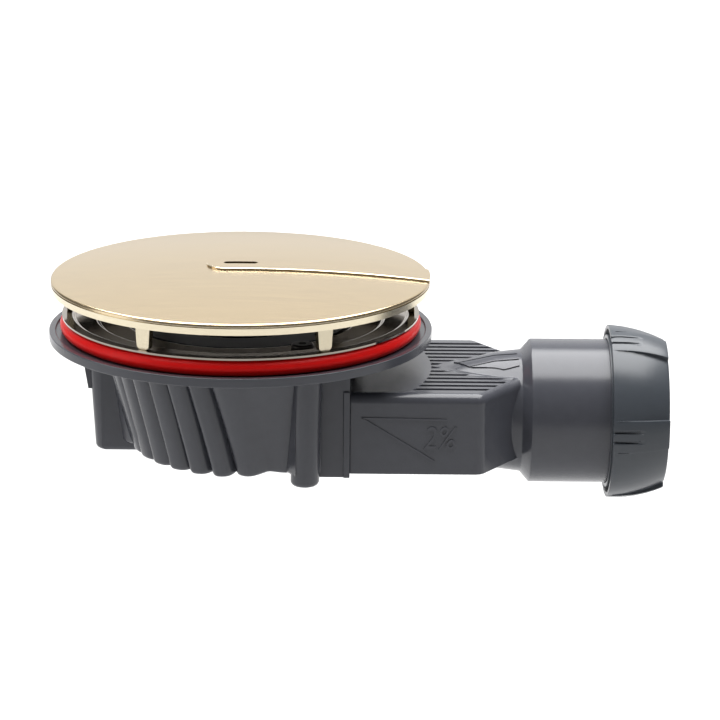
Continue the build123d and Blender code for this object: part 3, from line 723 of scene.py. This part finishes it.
# Faces turned down or inward get the painted shade coat; band faces get the lighter gold with its painted
# highlight.
for face in disc.data.polygons:
    outward = face.normal.x * face.center.x + face.normal.y * face.center.y
    reach = hypot(face.center.x, face.center.y)
    if reach > seam_radius - cover_edge and face.center.z < band_top - merge_distance and outward > 0:
        face.material_index = 1
    elif face.normal.z < shaded_under_slope or outward < shaded_inward_slope * reach:
        face.material_index = 2

# Cover tongue: the raised strip from the middle of the cover to its edge on the outlet's side.
# It is cast with the cover, brushed with it, and has a fine bevel all round, whose faces get the lighter gold
# as a painted highlight.
tongue_half = 0.00725
tongue_middle = -0.0040
tongue_height = 0.0007
tongue_bevel = 0.00018
tongue_root = 0.0014
tongue_steps = 24
tongue_strips = 6
highlit_bevel_low = 0.4
highlit_bevel_high = 0.9
tongue_outline = []
for i in range(tongue_steps + 1):
    side = tongue_half * (2 * i / tongue_steps - 1)
    tongue_outline.append((sqrt(cover_radius ** 2 - side ** 2), side))
for i in range(tongue_steps + 1):
    turn = pi / 2 + pi * i / tongue_steps
    tongue_outline.append((tongue_middle + tongue_half * cos(turn), tongue_half * sin(turn)))
tongue_mesh = bmesh.new()
tongue_face = tongue_mesh.faces.new([tongue_mesh.verts.new((x, y, 0)) for x, y in tongue_outline])
tongue_mesh.normal_update()
bmesh.ops.inset_region(tongue_mesh, faces=[tongue_face], thickness=tongue_bevel, use_boundary=True,
                       use_even_offset=True)
tongue_cuts = []
for i in range(1, tongue_steps):
    across = tongue_middle + (cover_radius - tongue_middle) * i / tongue_steps
    tongue_cuts.append(((across, 0, 0), (1, 0, 0)))
for i in range(1, tongue_strips):
    side = tongue_half * (2 * i / tongue_strips - 1)
    tongue_cuts.append(((0, side, 0), (0, 1, 0)))
for cut_place, cut_normal in tongue_cuts:
    everything = tongue_mesh.verts[:] + tongue_mesh.edges[:] + tongue_mesh.faces[:]
    bmesh.ops.bisect_plane(tongue_mesh, geom=everything, dist=merge_distance, plane_co=cut_place,
                           plane_no=cut_normal)
for vert in tongue_mesh.verts:
    x, y, _ = vert.co
    reach = hypot(x, y)
    inside = min(tongue_half - abs(y), cover_radius - reach)
    if x < tongue_middle:
        inside = tongue_half - hypot(x - tongue_middle, y)
    vert.co.z = dome(min(reach, cover_radius)) + tongue_height - max(tongue_bevel - inside, 0)
rim = [e for e in tongue_mesh.edges if e.is_boundary]
skirt = bmesh.ops.extrude_edge_only(tongue_mesh, edges=rim)["geom"]
bmesh.ops.translate(tongue_mesh, verts=[v for v in skirt if isinstance(v, bmesh.types.BMVert)],
                    vec=(0, 0, -tongue_root))
bmesh.ops.holes_fill(tongue_mesh, edges=[e for e in tongue_mesh.edges if e.is_boundary], sides=0)
bmesh.ops.recalc_face_normals(tongue_mesh, faces=tongue_mesh.faces)
tongue = finished_piece(slotted(tongue_mesh, slot_length, slot_width), "cover_tongue", "trap", "cover")
tongue.data.materials.append(brushed_gold)
tongue.data.materials.append(highlight_gold)
# Bevel faces get the lighter gold: painted highlight.
for face in tongue.data.polygons:
    if highlit_bevel_low < face.normal.z < highlit_bevel_high:
        face.material_index = 1

# Cover legs: six tapered uprights that stand on the dish's lip and leave a gap for the water.
# They are cast with the cover and have round tips.
leg_count = 6
leg_outer = 0.0574
leg_inner = 0.0552
leg_top = 0.0118
leg_bottom = 0.0009
leg_half_width = 0.0028
leg_half_tip = 0.0022
leg_tip_round = 0.0016
leg_edge_round = 0.00015
leg_corners = [(leg_half_width, leg_top), (leg_half_width, band_bottom), (leg_half_tip, leg_bottom),
               (-leg_half_tip, leg_bottom), (-leg_half_width, band_bottom), (-leg_half_width, leg_top)]
leg_outline = rounded_path(leg_corners, leg_tip_round, bend_steps)
leg_turn = Matrix.Rotation(2 * pi / leg_count, 3, "Z")
legs_mesh = bmesh.new()
for _ in range(leg_count):
    leg_face = legs_mesh.faces.new([legs_mesh.verts.new((leg_inner, y, z)) for y, z in leg_outline])
    depth = bmesh.ops.extrude_face_region(legs_mesh, geom=[leg_face])["geom"]
    front = [v for v in depth if isinstance(v, bmesh.types.BMVert)]
    bmesh.ops.translate(legs_mesh, verts=front, vec=(leg_outer - leg_inner, 0, 0))
    bmesh.ops.rotate(legs_mesh, verts=legs_mesh.verts, cent=(0, 0, 0), matrix=leg_turn)
bmesh.ops.remove_doubles(legs_mesh, verts=legs_mesh.verts, dist=merge_distance)
bmesh.ops.recalc_face_normals(legs_mesh, faces=legs_mesh.faces)
soften(legs_mesh, leg_edge_round, edge_segments)
legs = finished_piece(legs_mesh, "cover_legs", "trap", "cover")
# The legs get the lighter gold, whose extra brightness is painted highlight.
legs.data.materials.append(highlight_gold)

# Floor: a plain pale sheet under the trap, as in a studio.
# It lies well below the trap, so that no shadow falls into the picture.
floor_gap = 0.2
floor_height = cad_box[0][2] - floor_gap
floor_reach = 6.0
floor_grey = (0.5, 0.5, 0.5, 1)
floor_roughness = 0.9
sheet = bmesh.new()
bmesh.ops.create_grid(sheet, x_segments=1, y_segments=1, size=floor_reach)
bmesh.ops.translate(sheet, verts=sheet.verts, vec=(0, 0, floor_height))
floor_data = bpy.data.meshes.new("studio_floor")
sheet.to_mesh(floor_data)
sheet.free()
floor = bpy.data.objects.new("studio_floor", floor_data)
bpy.context.scene.collection.objects.link(floor)
floor_paint = node_material("floor_paint")
floor_shader = floor_paint.node_tree.nodes["Principled BSDF"]
floor_shader.inputs["Base Color"].default_value = floor_grey
floor_shader.inputs["Roughness"].default_value = floor_roughness
floor.data.materials.append(floor_paint)

# Light: a large soft panel overhead, with dimmer ones behind and on the left.
# One more lights the far floor, and the room itself is dim.
light_target = (0.04, 0, -0.02)
far_floor = (0.04, 2.0, floor_height)
far_spread = radians(60)
room_white = (1, 1, 1, 1)
room_strength = 0.18


def soft_panel(name, place, target, width, depth, power):
    """A soft light panel that faces a point."""
    lamp = bpy.data.lights.new(name, "AREA")
    lamp.shape = "RECTANGLE"
    lamp.size = width
    lamp.size_y = depth
    lamp.energy = power
    panel = bpy.data.objects.new(name, lamp)
    panel.location = place
    panel.rotation_euler = (Vector(target) - Vector(place)).to_track_quat("-Z", "Y").to_euler()
    bpy.context.scene.collection.objects.link(panel)
    return panel


soft_panel("top_panel", place=(0.04, 0.25, 1.5), target=light_target, width=2.4, depth=1.8, power=98)
soft_panel("back_panel", place=(0.04, 2.4, 0.8), target=light_target, width=4.0, depth=1.8, power=18)
soft_panel("left_panel", place=(-1.4, -0.3, 0.3), target=light_target, width=0.8, depth=1.2, power=4)
far_panel = soft_panel("far_panel", place=(0.04, 2.0, 1.3), target=far_floor, width=4.0, depth=2.0, power=45)
far_panel.data.spread = far_spread
room = bpy.data.worlds.new("studio_room")
room.use_nodes = True
room.node_tree.nodes["Background"].inputs["Color"].default_value = room_white
room.node_tree.nodes["Background"].inputs["Strength"].default_value = room_strength
bpy.context.scene.world = room
bpy.context.scene.view_settings.view_transform = "Standard"

# Camera: in front of the trap and a little above it, with a long lens.
# It leans over by half a degree, as in the photo.
camera_place = Vector((0.0395, -0.883, 0.23765))
camera_target = Vector((0.03953, 0, -0.016))
camera_roll = 0.0089
camera_lens = 138.1
camera_sensor = 36
lens = bpy.data.cameras.new("studio_camera")
lens.lens = camera_lens
lens.sensor_width = camera_sensor
camera = bpy.data.objects.new("studio_camera", lens)
camera.location = camera_place
camera.rotation_mode = "QUATERNION"
aim = (camera_target - camera_place).to_track_quat("-Z", "Y")
camera.rotation_quaternion = aim @ Quaternion((0, 0, 1), camera_roll)
bpy.context.scene.collection.objects.link(camera)
bpy.context.scene.camera = camera
